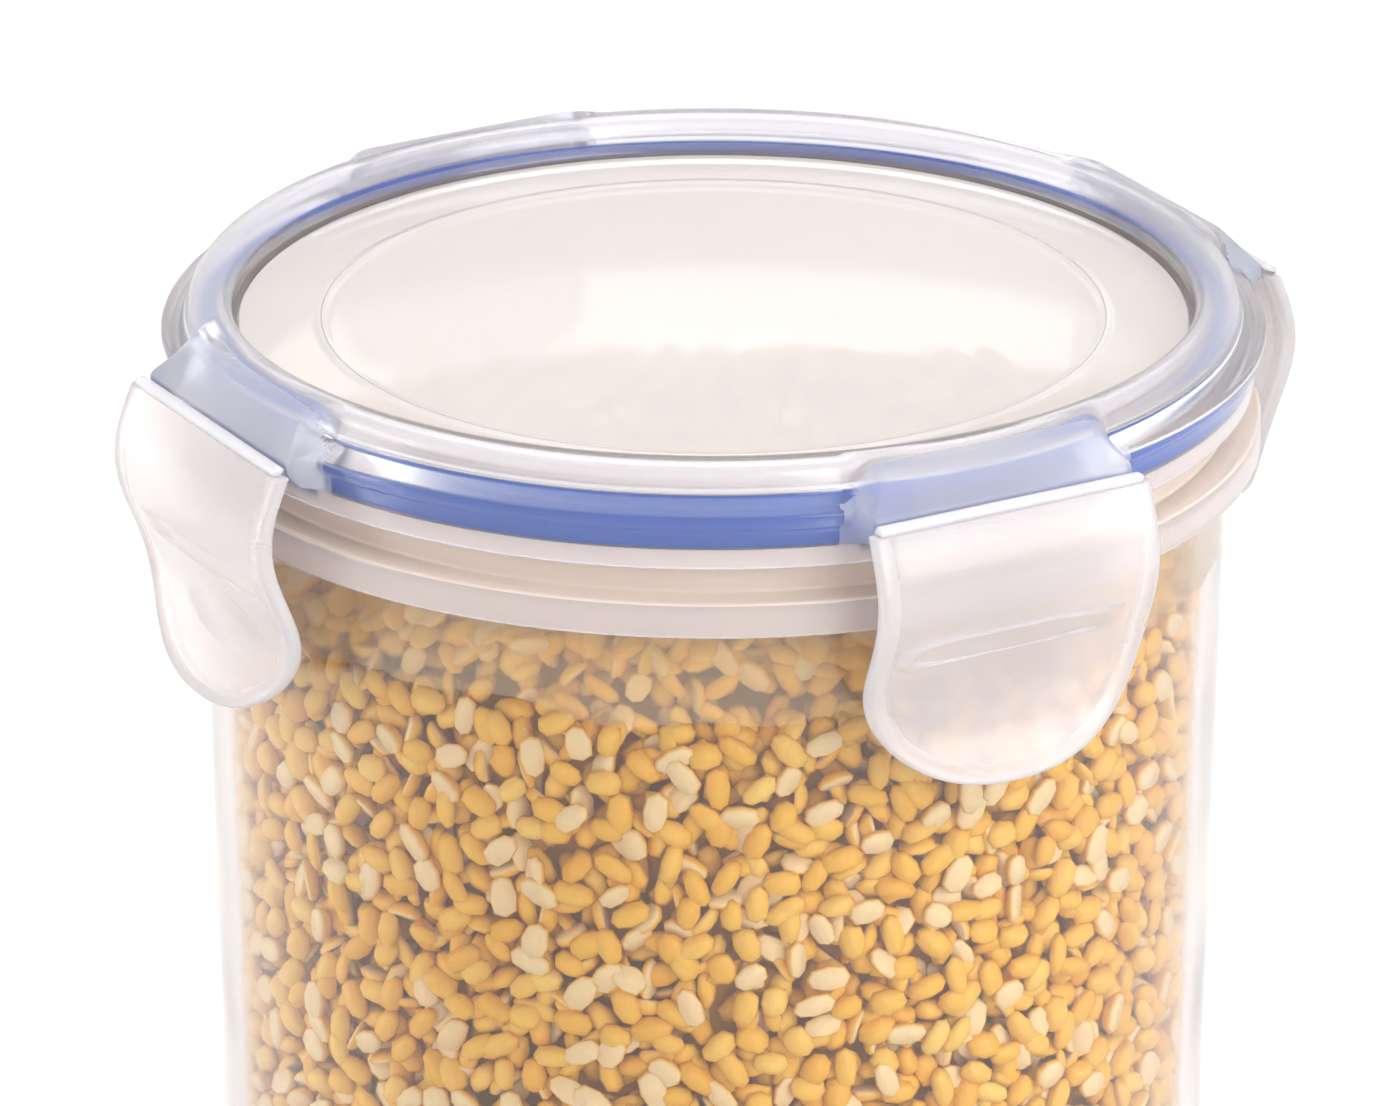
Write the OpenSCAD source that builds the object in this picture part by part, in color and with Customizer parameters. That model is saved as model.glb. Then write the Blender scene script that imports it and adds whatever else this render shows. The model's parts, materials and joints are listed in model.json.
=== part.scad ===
// Round clip-lock food canister, filled with split dal.
// Millimetres. +Z is up, the origin is the centre of the base on the table.
// The four latches sit on +X, +Y, -X and -Y. Every round profile is turned about Z.

/* [Canister body] */
// Height of the rim that the seal rests on
rim_h = 174; // [150:1:174]
// Outer radius of the wall just under the collar
wall_top_r = 52.6; // [52:0.1:52.8]
// Outer radius of the wall just above the base
wall_base_r = 49.6; // [47:0.1:51]
// Thickness of the moulded wall
wall = 2; // [1.6:0.1:2.2]
// Thickness of the base
floor_t = 2; // [1.6:0.1:4]
// Height of the foot ring under the base
foot_h = 2.5; // [2:0.1:4]
// Outer radius of the collar that the latches hook under
collar_r = 56; // [55.6:0.1:56]
// Height of the collar's outer lip
collar_h = 3.7; // [3:0.1:4]
// Distance from the rim down to the top of the collar
collar_drop = 4.7; // [4.4:0.1:5.4]

/* [Lid] */
// Thickness of the lid's moulded walls
lid_t = 1.5; // [1.2:0.1:1.6]
// Inner radius of the raised ring, which is the edge of the recessed panel
ring_in_r = 49.1; // [48.8:0.1:49.2]
// Radius of the ring's crest
crest_r = 51.3; // [51:0.1:51.6]
// Outer radius of the ledge around the ring
ledge_r = 56.4; // [56:0.1:56.6]
// Height of the crest over the rim
crest_over_rim = 9; // [8.6:0.1:9.6]
// Depth of the recessed panel under the crest
panel_drop = 4.2; // [3.4:0.1:4.6]
// Radius of the stacking bead on the panel
bead_r = 40; // [30:0.5:44]

/* [Seal] */
// Radial thickness of the seal
seal_w = 2.7; // [2:0.1:2.8]
// Height of the seal
seal_h = 6; // [5:0.1:6.1]

/* [Latches] */
// Width of each latch
latch_w = 32; // [28:0.5:34]
// Length of each latch, from its hinge to its finger lip
latch_len = 28.8; // [28:0.2:30]
// Radius of each latch's lower corners
latch_corner = 14; // [8:0.5:15]
// Distance from the axis of the canister to a hinge line
hinge_d = 57.9; // [57.7:0.1:58.1]
// Mean distance of a latch's outer face from the axis of the canister
face_mid = 59.2; // [59:0.1:59.4]
// Depth of the wave in a latch's face, half from crest to trough
face_amp = 1.7; // [1.6:0.1:1.8]
// Length of one whole wave in a latch's face
face_wave = 25.8; // [24:0.2:27]
// Thickness of a latch's thin panel
latch_t = 1.1; // [1:0.1:1.2]
// Width of the thick border around a latch
border_w = 2; // [1.5:0.1:2.5]
// Extra thickness of the border
border_t = 0.4; // [0.3:0.1:0.6]
// Angle that the latches are opened to
open_angle = 0; // [0:5:150]

/* [Dal] */
// Height of the heap where it meets the wall
heap_edge_h = 153.5; // [60:0.5:154]
// Height of the heap's peak
heap_peak_h = 173.6; // [80:0.5:174]

/* [Hidden] */
$fn = 128;
// Gap kept between pieces that move past each other
gap = 0.3;
// Radial gap between the lid's plug and the mouth
plug_gap = 0.4;
// Overlap that makes a cut or a union clean
eps = 0.1;

// Heights measured on the body
collar_top = rim_h - collar_drop;
collar_low = collar_top - collar_h;
bore_top_r = wall_top_r - wall;
bore_base_r = wall_base_r - wall;
rim_r = bore_top_r + 2;
foot_r = wall_base_r - 4;
base_round = 4;
lip_t = 1.4;
inner_floor = foot_h + floor_t;
bore_low = inner_floor + base_round;

// Heights and radii measured on the lid
crest_h = rim_h + crest_over_rim;
panel_top = crest_h - panel_drop;
ring_half_w = crest_r - ring_in_r + 0.2;
ring_edge_h = crest_h - 3;
ledge_h = crest_h - 4.5;
skirt_r = 55.4;
skirt_low_r = 55;
skirt_bottom = crest_h - 12.2;
plug_out_r = bore_top_r - plug_gap;
plug_bottom = rim_h - 6;
channel_r = skirt_low_r - lid_t;
bead_h = 0.5;

// Where the seal sits in the channel
seal_low = rim_h + gap;
seal_in_r = plug_out_r + 0.15;
seal_wall = 0.8;
channel_top = seal_low + seal_h + gap;

// Lands and hinges
land_d = 53.6;
land_top = crest_h - 0.8;
hinge_h = crest_h - 5.4;
land_tip_d = hinge_d - 0.75;
land_tip_h = hinge_h + 0.5;
land_low_h = hinge_h - 0.4;
bead_hinge_r = 0.35;
web_t = 0.4;
web_w = latch_w - 1;

// Latches
latch_top = hinge_h - bead_hinge_r - 0.25;
latch_low = hinge_h - latch_len;
crest_z = crest_h - 13.1;
rib_in_r = collar_r + gap;
rib_top = collar_low - gap;
rib_h = 1.8;
rib_w = latch_w - 8;
steps = 24;

// Directions of the four latches, as turns about Z from +X
RIGHT = 0;
BACK = 90;
LEFT = 180;
FRONT = 270;

// Distance of a latch's outer face from the canister's axis at the height z
function face_d(z) = face_mid + face_amp * cos(360 * (z - crest_z) / face_wave);

// Heights from a to b in even steps
function heights(a, b) = [for (i = [0 : steps]) a + (b - a) * i / steps];

// Radius of the tub's bore at the height z
function bore_r(z) = bore_base_r + (bore_top_r - bore_base_r) * (z - bore_low) / (collar_low - bore_low);

// Half an ellipse over the ring, from its outer foot over the crest to its inner edge
function ring_arch() = [for (a = [0 : 7.5 : 180])
    [ring_in_r + ring_half_w * (1 + cos(a)), ring_edge_h + (crest_h - ring_edge_h) * sin(a)]];

// Band between two offsets of the latch face, seen from the side
module face_band(low, high, outer, inner) {
    polygon(concat([for (z = heights(low, high)) [face_d(z) + outer, z]],
                   [for (z = heights(high, low)) [face_d(z) + inner, z]]));
}

// Turns a side view, distance by height, into a solid of width w across the +X side
module across(w) {
    translate([0, w / 2, 0]) rotate([90, 0, 0]) linear_extrude(height = w) children();
}

// D-shaped outline of a latch pressed through along X, drawn in by inset
module latch_blank(inset) {
    low = latch_low + inset;
    half = latch_w / 2 - inset;
    corner = latch_corner - inset;
    translate([hinge_d - 10, 0, 0]) rotate([90, 0, 90]) linear_extrude(height = 20) {
        translate([-half, low + corner]) square([2 * half, hinge_h - low - corner]);
        translate([corner - half, low]) square([2 * (half - corner), corner + eps]);
        for (side = [-1, 1])
            translate([side * (half - corner), low + corner]) circle(r = corner);
    }
}

// Clear tub: foot ring, tapered wall, collar and rim, turned as one profile
module canister_body() {
    color([0.93, 0.95, 0.96, 0.35]) rotate_extrude() difference() {
        union() {
            polygon([[0, foot_h], [wall_base_r - base_round, foot_h], [wall_base_r, foot_h + base_round],
                     [wall_top_r, collar_low], [wall_top_r, rim_h - 3], [rim_r, rim_h - 2],
                     [rim_r, rim_h], [0, rim_h]]);
            // Foot ring
            translate([foot_r - wall, 0]) square([wall, foot_h + eps]);
            // Collar: a flange with a lip that hangs from its edge
            translate([bore_top_r + eps, collar_top - lip_t]) square([collar_r - bore_top_r - eps, lip_t]);
            translate([collar_r - lip_t, collar_low]) square([lip_t, collar_h]);
        }
        polygon([[0, inner_floor], [bore_base_r - base_round, inner_floor],
                 [bore_base_r, bore_low], [bore_top_r, collar_low],
                 [bore_top_r, rim_h + 1], [0, rim_h + 1]]);
    }
}

// Heap of dal: a tapered plug with a low cone on top, gap clear of the tub
module dal_fill() {
    low = inner_floor + gap;
    color("goldenrod") rotate_extrude()
        polygon([[0, low], [bore_base_r - base_round - gap, low], [bore_base_r - gap, bore_low + gap],
                 [bore_r(heap_edge_h) - gap, heap_edge_h], [0, heap_peak_h]]);
}

// Side view of half the lid, with the channel still full
module lid_section() {
    // Panel and plug
    translate([0, panel_top - lid_t]) square([ring_in_r + eps, lid_t]);
    translate([ring_in_r, plug_bottom]) square([plug_out_r - ring_in_r, ring_edge_h - plug_bottom]);
    // Stacking bead on the panel
    translate([bead_r, panel_top]) circle(r = bead_h);
    // Domed ring
    polygon(ring_arch());
    // Ledge and skirt
    polygon([[ring_in_r, ring_edge_h + eps], [crest_r + 2, ring_edge_h + eps], [ledge_r - 0.5, ledge_h + 0.4],
             [ledge_r, ledge_h], [ledge_r, ledge_h - 0.8], [skirt_r, ledge_h - 2],
             [skirt_low_r, skirt_bottom], [ring_in_r, skirt_bottom]]);
}

// Raised flat land that carries a hinge, on the +X side
module land() {
    difference() {
        across(latch_w)
            polygon([[crest_r - 4, land_top], [land_d, land_top], [land_tip_d, land_tip_h],
                     [land_tip_d, land_low_h], [skirt_r - 1, land_low_h - 2], [crest_r - 4, land_low_h - 2]]);
        translate([0, 0, plug_bottom]) cylinder(r = crest_r, h = crest_h);
    }
}

// Lid: recessed panel, plug, domed ring, skirt and four lands, hollow for the seal
module lid() {
    color([0.95, 0.94, 0.95, 0.6]) difference() {
        union() {
            rotate_extrude() lid_section();
            for (turn = [RIGHT, BACK, LEFT, FRONT]) rotate([0, 0, turn]) land();
        }
        // Channel for the seal and the rim, open downwards
        translate([0, 0, plug_bottom - 1]) difference() {
            cylinder(r = channel_r, h = channel_top - plug_bottom + 1);
            translate([0, 0, -eps]) cylinder(r = plug_out_r, h = rim_h);
        }
    }
}

// Hollow square seal in the lid's channel
module seal_ring() {
    color([0.25, 0.42, 0.78]) rotate_extrude() difference() {
        translate([seal_in_r, seal_low]) square([seal_w, seal_h]);
        translate([seal_in_r + seal_wall, seal_low + seal_wall])
            square([seal_w - 2 * seal_wall, seal_h - 2 * seal_wall]);
    }
}

// Thin web with a round edge on the hinge line, from the land to the latch
module living_hinge(turn) {
    color([0.97, 0.97, 0.98]) rotate([0, 0, turn]) {
        translate([land_tip_d, -web_w / 2, hinge_h - web_t / 2])
            cube([hinge_d - land_tip_d, web_w, web_t]);
        translate([hinge_d, web_w / 2, hinge_h]) rotate([90, 0, 0])
            cylinder(r = bead_hinge_r, h = web_w, $fn = 48);
    }
}

// Wavy flap with a thick border, a thin recessed panel and a snap rib under the collar
module latch(turn) {
    color([0.95, 0.94, 0.96, 0.7]) rotate([0, 0, turn])
    translate([hinge_d, 0, hinge_h]) rotate([0, -open_angle, 0]) translate([-hinge_d, 0, -hinge_h])
    difference() {
        union() {
            // Border, thicker than the panel inside it
            intersection() {
                across(latch_w + 2) face_band(latch_low - 1, latch_top, 0, -latch_t - border_t);
                difference() {
                    latch_blank(0);
                    latch_blank(border_w);
                }
            }
            // Panel, set back from the border's face
            intersection() {
                across(latch_w + 2) face_band(latch_low - 1, latch_top, -border_t, -latch_t - border_t);
                latch_blank(eps);
            }
            // Snap rib
            intersection() {
                translate([rib_in_r - 4, -rib_w / 2, rib_top - rib_h]) cube([8, rib_w, rib_h]);
                across(rib_w) face_band(latch_low, latch_top, -latch_t, -latch_t - 6);
            }
        }
        // Everything clears the collar when the lid lifts straight off
        translate([0, 0, latch_low - 5]) cylinder(r = rib_in_r, h = latch_len + 6);
    }
}

canister_body();
dal_fill();
lid();
seal_ring();
living_hinge(FRONT);  // living_hinge_front
living_hinge(RIGHT);  // living_hinge_right
living_hinge(BACK);  // living_hinge_back
living_hinge(LEFT);  // living_hinge_left
latch(FRONT);  // latch_front
latch(RIGHT);  // latch_right
latch(BACK);  // latch_back
latch(LEFT);  // latch_left
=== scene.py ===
# %% [markdown]
# # A round clip-lock canister full of split dal
# The real canister is three mouldings and its contents: a clear tub, a milky lid with four latches on
# living hinges, and a blue silicone seal. The imported model gives the frame: the canister's pieces made here
# take their place from that frame, and all but the hinge films ride on one of its bodies, so that the lid
# lifts and the latches swing.

# %% Load the frame
import json
import math

import bmesh
import bpy
import numpy as np
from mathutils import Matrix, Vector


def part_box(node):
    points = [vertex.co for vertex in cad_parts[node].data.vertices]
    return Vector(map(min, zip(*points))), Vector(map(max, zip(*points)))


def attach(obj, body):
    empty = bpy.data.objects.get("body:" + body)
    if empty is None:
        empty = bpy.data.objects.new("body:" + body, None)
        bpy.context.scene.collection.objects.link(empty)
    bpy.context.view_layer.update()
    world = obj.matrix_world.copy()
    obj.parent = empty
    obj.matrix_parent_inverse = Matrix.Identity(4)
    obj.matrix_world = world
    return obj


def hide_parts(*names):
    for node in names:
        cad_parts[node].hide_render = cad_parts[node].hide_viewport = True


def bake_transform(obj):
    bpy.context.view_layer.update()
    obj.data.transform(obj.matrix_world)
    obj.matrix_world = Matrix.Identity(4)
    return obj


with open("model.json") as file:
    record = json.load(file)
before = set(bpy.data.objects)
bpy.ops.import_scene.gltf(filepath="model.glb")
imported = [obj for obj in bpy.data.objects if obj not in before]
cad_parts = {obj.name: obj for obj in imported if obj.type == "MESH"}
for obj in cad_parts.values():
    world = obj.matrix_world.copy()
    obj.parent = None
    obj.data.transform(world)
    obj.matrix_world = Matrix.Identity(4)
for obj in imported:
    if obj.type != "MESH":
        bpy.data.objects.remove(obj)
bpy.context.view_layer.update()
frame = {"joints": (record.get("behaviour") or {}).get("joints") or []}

# %% [markdown]
# ## Sizes
# Lengths are in millimetres until a mesh is written, because moulded parts are drawn that way. Heights on
# the lid are counted down from its crest, heights on the tub up from the table, and both ends come from
# the frame's own boxes.

# %% Sizes shared by several pieces
MM = 0.001
CREST = float(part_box("lid")[1][2]) / MM
RIM = float(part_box("canister_body")[1][2]) / MM
COLLAR_TOP = RIM - 4.7
COLLAR_LOW = COLLAR_TOP - 3.7
COLLAR_R = 56.0
WALL = 2.0
WALL_TOP_R = 52.6
WALL_BASE_R = 49.6
FOOT = 2.5
FLOOR = 2.0
HEAP_EDGE = 153.5
LATCH_W = 32.0
HINGE_D = abs(frame["joints"][1]["pos_m"][1]) / MM
HINGE_H = frame["joints"][1]["pos_m"][2] / MM
LATCH_TURNS = {"right": 0, "back": 90, "left": 180, "front": 270}
print("crest at", round(CREST, 2), "mm, rim at", round(RIM, 2), "mm, hinges at", HINGE_D, HINGE_H, "mm")

# %% [markdown]
# ## From arrays to meshes
# Every piece is worked out as an array of points and then written to a mesh in one go. A grid of points
# becomes a skin of four-sided faces; where the grid closes on itself the last row joins the first. Poles
# and zip seams are points in the same place, which one merge closes.

# %% Mesh helpers
def grid_faces(rows, columns, wrap_rows=False, wrap_columns=False):
    """Four-sided faces between neighbours on a grid; a wrapped direction joins its last line to its first."""
    i = np.arange(rows if wrap_rows else rows - 1)[:, None]
    j = np.arange(columns if wrap_columns else columns - 1)[None, :]
    corners = [(i, j), (i + 1, j), (i + 1, j + 1), (i, j + 1)]
    return np.stack([(a % rows) * columns + b % columns for a, b in corners], axis=-1).reshape(-1, 4)


def make_piece(name, points, faces, material, weld=True):
    """A smooth-shaded object from points in millimetres. Weld merges poles and seams and turns the faces
    outwards."""
    mesh = bpy.data.meshes.new(name)
    mesh.from_pydata((np.asarray(points).reshape(-1, 3) * MM).tolist(), [], faces.tolist())
    if weld:
        work = bmesh.new()
        work.from_mesh(mesh)
        bmesh.ops.remove_doubles(work, verts=work.verts, dist=1e-6)
        bmesh.ops.dissolve_degenerate(work, edges=work.edges, dist=1e-7)
        bmesh.ops.recalc_face_normals(work, faces=work.faces)
        work.to_mesh(mesh)
        work.free()
    mesh.shade_smooth()
    mesh.materials.append(material)
    piece = bpy.data.objects.new(name, mesh)
    bpy.context.collection.objects.link(piece)
    print(name, "has", len(mesh.polygons), "faces")
    return piece


def paint_region(piece, material, chosen):
    """Gives another material to the faces whose centres, in millimetres, the chosen test picks out."""
    mesh = piece.data
    mesh.materials.append(material)
    slots = np.empty(len(mesh.polygons), dtype=np.int32)
    mesh.polygons.foreach_get("material_index", slots)
    centres = np.empty(len(mesh.polygons) * 3)
    mesh.polygons.foreach_get("center", centres)
    picked = chosen(centres.reshape(-1, 3) / MM)
    slots[picked] = len(mesh.materials) - 1
    mesh.polygons.foreach_set("material_index", slots)
    print(piece.name, "has", int(picked.sum()), "faces of", material.name)


def rounded(corners, steps):
    """An outline from (r, z, radius) corners. Each corner becomes a short curve that starts and ends its
    radius away along both sides, by the rule (1-t)^2 A + 2t(1-t) B + t^2 C."""
    corners = np.asarray(corners, dtype=float)
    place, radius = corners[:, :2], corners[:, 2:]
    back, ahead = np.roll(place, 1, axis=0) - place, np.roll(place, -1, axis=0) - place
    start = place + back / np.maximum(np.linalg.norm(back, axis=1, keepdims=True), 1e-9) * radius
    end = place + ahead / np.maximum(np.linalg.norm(ahead, axis=1, keepdims=True), 1e-9) * radius
    start[0], end[-1] = place[0], place[-1]
    t = np.linspace(0, 1, steps)[None, :, None]
    curve = (1 - t) ** 2 * start[:, None] + 2 * t * (1 - t) * place[:, None] + t ** 2 * end[:, None]
    return curve.reshape(-1, 2)


def resample(outline, count):
    """count points evenly spaced along an open outline, measured by its running length."""
    run = np.concatenate([[0], np.cumsum(np.linalg.norm(np.diff(outline, axis=0), axis=1))])
    even = np.linspace(0, run[-1], count)
    return np.stack([np.interp(even, run, outline[:, 0]), np.interp(even, run, outline[:, 1])], axis=-1)


def revolve(name, outline, material, segments):
    """Turns an (r, z) outline about the upright axis: x = r cos(a), y = r sin(a)."""
    angle = np.linspace(0, 2 * np.pi, segments, endpoint=False)[:, None]
    r, z = outline[:, 0][None, :], outline[:, 1][None, :]
    points = np.stack([r * np.cos(angle), r * np.sin(angle), z + 0 * angle], axis=-1)
    return make_piece(name, points, grid_faces(*points.shape[:2], wrap_rows=True), material)


def axis_distance(at):
    """Distance of points from the upright axis."""
    return np.hypot(at[:, 0], at[:, 1])


def smooth(t):
    """A smooth step from 0 to 1: 3t^2 - 2t^3."""
    return t * t * (3 - 2 * t)


print("a grid of 3 by 4 points has", len(grid_faces(3, 4)), "faces, wrapped", len(grid_faces(3, 4, True)))

# %% [markdown]
# ## Finishes
# Moulded plastic is never one flat value: the gloss wanders a little where the melt flowed and where hands
# touched it, and the surface has a very fine grain. Both are one node group, placed in each material with
# its own numbers. A second group clouds the colour. Constants stay on the shader's own sockets.

# %% Node group helpers
def new_group(name, inputs, outputs):
    """An empty shader group with named sockets; inputs and outputs map a name to its kind and default."""
    group = bpy.data.node_groups.new(name, "ShaderNodeTree")
    for side, sockets in (("INPUT", inputs), ("OUTPUT", outputs)):
        for label, (kind, value) in sockets.items():
            socket = group.interface.new_socket(label, in_out=side, socket_type="NodeSocket" + kind)
            if value is not None:
                socket.default_value = value
    return group, group.nodes.new("NodeGroupInput"), group.nodes.new("NodeGroupOutput")


def add_node(tree, kind, links=(), **values):
    """One node with its plain properties and unlinked inputs set; links are (input, output socket) pairs."""
    node = tree.nodes.new("ShaderNode" + kind)
    for label, value in values.items():
        if hasattr(node, label):
            setattr(node, label, value)
        else:
            node.inputs[label.replace("_", " ")].default_value = value
    for label, source in links:
        tree.links.new(source, node.inputs[label])
    return node

# %% The moulded surface group
def moulded_group():
    """Roughness = base + cloudy noise * wander; the normal comes from a fine grain on slow waves."""
    group, into, out = new_group(
        "moulded_surface",
        {"Roughness": ("Float", 0.3), "Wander": ("Float", 0.1), "Grain": ("Float", 0.1),
         "Scale": ("Float", 1.0)},
        {"Roughness": ("Float", None), "Normal": ("Vector", None)})
    place = add_node(group, "TexCoord").outputs["Object"]
    scaled = add_node(group, "VectorMath", [("Scale", into.outputs["Scale"])], operation="SCALE")
    group.links.new(place, scaled.inputs[0])
    cloud = add_node(group, "TexNoise", [("Vector", scaled.outputs[0])],
                     Scale=55.0, Detail=4.0, Roughness=0.6)
    swing = add_node(group, "Math", [(0, cloud.outputs["Fac"])], operation="SUBTRACT")
    swing.inputs[1].default_value = 0.5
    rough = add_node(group, "Math", [(0, swing.outputs[0]), (1, into.outputs["Wander"]),
                                     (2, into.outputs["Roughness"])],
                     operation="MULTIPLY_ADD", use_clamp=True)
    fine = add_node(group, "TexNoise", [("Vector", scaled.outputs[0])], Scale=2600.0, Detail=2.0)
    slow = add_node(group, "TexNoise", [("Vector", scaled.outputs[0])], Scale=38.0, Detail=1.0)
    waves = add_node(group, "Bump", [("Height", slow.outputs["Fac"])], Strength=0.05, Distance=0.002)
    grain = add_node(group, "Bump", [("Height", fine.outputs["Fac"]), ("Strength", into.outputs["Grain"]),
                                     ("Normal", waves.outputs["Normal"])], Distance=0.0002)
    group.links.new(rough.outputs[0], out.inputs["Roughness"])
    group.links.new(grain.outputs["Normal"], out.inputs["Normal"])
    return group


def cloudy_group():
    """Colour = a mix of two tints by soft noise, pulled towards one of them by the bias."""
    group, into, out = new_group(
        "cloudy_colour",
        {"Tint": ("Color", (1, 1, 1, 1)), "Cloud": ("Color", (1, 1, 1, 1)), "Scale": ("Float", 60.0),
         "Contrast": ("Float", 1.0)},
        {"Color": ("Color", None)})
    place = add_node(group, "TexCoord").outputs["Object"]
    noise = add_node(group, "TexNoise", [("Vector", place), ("Scale", into.outputs["Scale"])], Detail=5.0)
    swing = add_node(group, "Math", [(0, noise.outputs["Fac"])], operation="SUBTRACT")
    swing.inputs[1].default_value = 0.5
    share = add_node(group, "Math", [(0, swing.outputs[0]), (1, into.outputs["Contrast"])],
                     operation="MULTIPLY_ADD", use_clamp=True)
    share.inputs[2].default_value = 0.5
    mix = add_node(group, "Mix", data_type="RGBA")
    group.links.new(share.outputs[0], mix.inputs["Factor"])
    group.links.new(into.outputs["Tint"], mix.inputs["A"])
    group.links.new(into.outputs["Cloud"], mix.inputs["B"])
    group.links.new(mix.outputs["Result"], out.inputs["Color"])
    return group


MOULDED = moulded_group()
CLOUDY = cloudy_group()
print("node groups:", [group.name for group in bpy.data.node_groups])

# %% [markdown]
# A moulded material is the Principled shader fed by the two groups. Milky polypropylene lets most light
# through but blurs it, so it gets transmission with some roughness; the part of its light that isn't
# transmitted is scattered white, which is what makes it milky.

# %% Materials for the moulded pieces
def group_node(tree, group, **values):
    """A placed node group with its own input values."""
    node = tree.nodes.new("ShaderNodeGroup")
    node.node_tree = group
    for label, value in values.items():
        node.inputs[label].default_value = value
    return node


def moulded_material(name, tint, cloud, surface, colour, **constants):
    """A Principled material whose colour, roughness and normal come from the two shared groups."""
    material = bpy.data.materials.new(name)
    material.use_nodes = True
    tree = material.node_tree
    shader = tree.nodes["Principled BSDF"]
    clouds = group_node(tree, CLOUDY, Tint=(*tint, 1), Cloud=(*cloud, 1), **colour)
    skin = group_node(tree, MOULDED, **surface)
    tree.links.new(clouds.outputs["Color"], shader.inputs["Base Color"])
    tree.links.new(skin.outputs["Roughness"], shader.inputs["Roughness"])
    tree.links.new(skin.outputs["Normal"], shader.inputs["Normal"])
    for label, value in constants.items():
        shader.inputs[label.replace("_", " ")].default_value = value
    return material


PLASTIC_IOR = 1.46


def plastic(name, tint, cloud, surface, colour, transmission):
    """A plastic by its two tints, its surface (roughness, wander, grain), its clouds (scale, contrast) and
    the share of light that passes."""
    return moulded_material(
        name + "_plastic", tint, cloud, dict(zip(("Roughness", "Wander", "Grain"), surface)),
        dict(zip(("Scale", "Contrast"), colour)), IOR=PLASTIC_IOR, Transmission_Weight=transmission)


clear_plastic = plastic("clear", (0.99, 0.98, 0.98), (0.97, 0.95, 0.95), (0.04, 0.05, 0.01),
                        (30.0, 1.0), 1.0)
collar_plastic = plastic("collar", (0.84, 0.775, 0.775), (0.80, 0.735, 0.735), (0.24, 0.10, 0.03),
                         (60.0, 1.0), 0.70)
# Painted veil: the dull, hazy tan that shade under the lid and reflections give the wall above the fill.
painted_veil_plastic = plastic("painted_veil", (1.0, 0.88, 0.66), (0.98, 0.84, 0.60), (0.15, 0.10, 0.02),
                        (160.0, 2.0), 0.80)
# Painted light: the peach tint stands for the dal's warm colour seen through the clear neck.
neck_painted_light_plastic = plastic("neck", (0.92, 0.80, 0.72), (0.88, 0.76, 0.68), (0.24, 0.10, 0.03),
                       (60.0, 1.4), 0.52)
ring_plastic = plastic("ring", (0.99, 0.97, 0.99), (0.96, 0.94, 0.96), (0.20, 0.10, 0.01),
                       (45.0, 1.4), 0.89)
panel_plastic = plastic("panel", (0.93, 0.89, 0.87), (0.89, 0.85, 0.83), (0.08, 0.04, 0.01),
                        (26.0, 1.8), 0.60)
ledge_plastic = plastic("ledge", (0.97, 0.97, 0.99), (0.94, 0.94, 0.97), (0.14, 0.10, 0.01),
                        (45.0, 1.4), 0.98)
# Painted shade: the lands are milky white, and this darker blue-grey stands for the shade on their sloping
# faces.
land_painted_shade_plastic = plastic("land", (0.72, 0.74, 0.83), (0.68, 0.70, 0.80), (0.38, 0.12, 0.02),
                       (60.0, 1.4), 0.76)
skirt_plastic = plastic("skirt", (0.84, 0.79, 0.80), (0.81, 0.75, 0.76), (0.24, 0.12, 0.03),
                        (60.0, 1.4), 0.70)
latch_plastic = plastic("latch", (0.90, 0.855, 0.86), (0.86, 0.815, 0.82), (0.24, 0.14, 0.02),
                        (70.0, 1.6), 0.74)
border_plastic = plastic("border", (0.84, 0.81, 0.82), (0.80, 0.77, 0.78), (0.30, 0.16, 0.03),
                         (70.0, 1.6), 0.66)
hinge_plastic = plastic("hinge", (0.93, 0.92, 0.95), (0.90, 0.89, 0.92), (0.38, 0.20, 0.05),
                        (160.0, 2.0), 0.66)
seal_silicone = moulded_material(
    "seal_silicone", (0.006, 0.095, 0.46), (0.012, 0.12, 0.54),
    {"Roughness": 0.42, "Wander": 0.20, "Grain": 0.08}, {"Scale": 90.0, "Contrast": 1.2},
    IOR=1.41, Subsurface_Weight=0.7, Subsurface_Radius=(0.5, 0.8, 1.5), Subsurface_Scale=0.002)
print("moulded materials:", [material.name for material in bpy.data.materials])

# %% [markdown]
# ## The tub
# The tub is a solid of revolution: a recessed base inside a foot ring, a wall that widens upwards, a collar
# with a hanging lip for the latches to hook, and a neck whose rim meets the seal. One closed outline carries
# all of it, so the wall has its true thickness and bends light as the real one does. The collar is milkier
# than the wall. The neck gets a milky peach tint, painted light that stands for the dal's warm colour seen
# through the clear neck. Above the fill the inside of the wall gets a pale tan film, a painted veil for the
# shade under the lid and the reflections on the wall there. These are regions of the one moulding, so their
# faces get another material instead of becoming pieces.

# %% The wall's own tint and its painted veil
WALL_LOW = 6.5
VEIL_LOW = HEAP_EDGE + 1.5


def bore_r(z):
    """Inner radius of the tub's wall at the height z: it widens evenly from the base to the collar."""
    up = np.clip((z - WALL_LOW) / (COLLAR_LOW - WALL_LOW), 0, 1)
    return (WALL_BASE_R + (WALL_TOP_R - WALL_BASE_R) * up) - WALL


def add_edge_tint(material, tint):
    """A clear wall seen edge on looks tinted, since light runs a long way inside it: colour by facing."""
    tree = material.node_tree
    shader = tree.nodes["Principled BSDF"]
    colour = shader.inputs["Base Color"].links[0].from_socket
    facing = add_node(tree, "LayerWeight", Blend=0.5)
    edge = add_node(tree, "MapRange", [("Value", facing.outputs["Facing"])], interpolation_type="SMOOTHSTEP",
                    From_Min=0.4, From_Max=0.95)
    mix = add_node(tree, "Mix", [("Factor", edge.outputs["Result"]), ("A", colour)], data_type="RGBA")
    mix.inputs["B"].default_value = (*tint, 1)
    tree.links.new(mix.outputs["Result"], shader.inputs["Base Color"])


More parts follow.
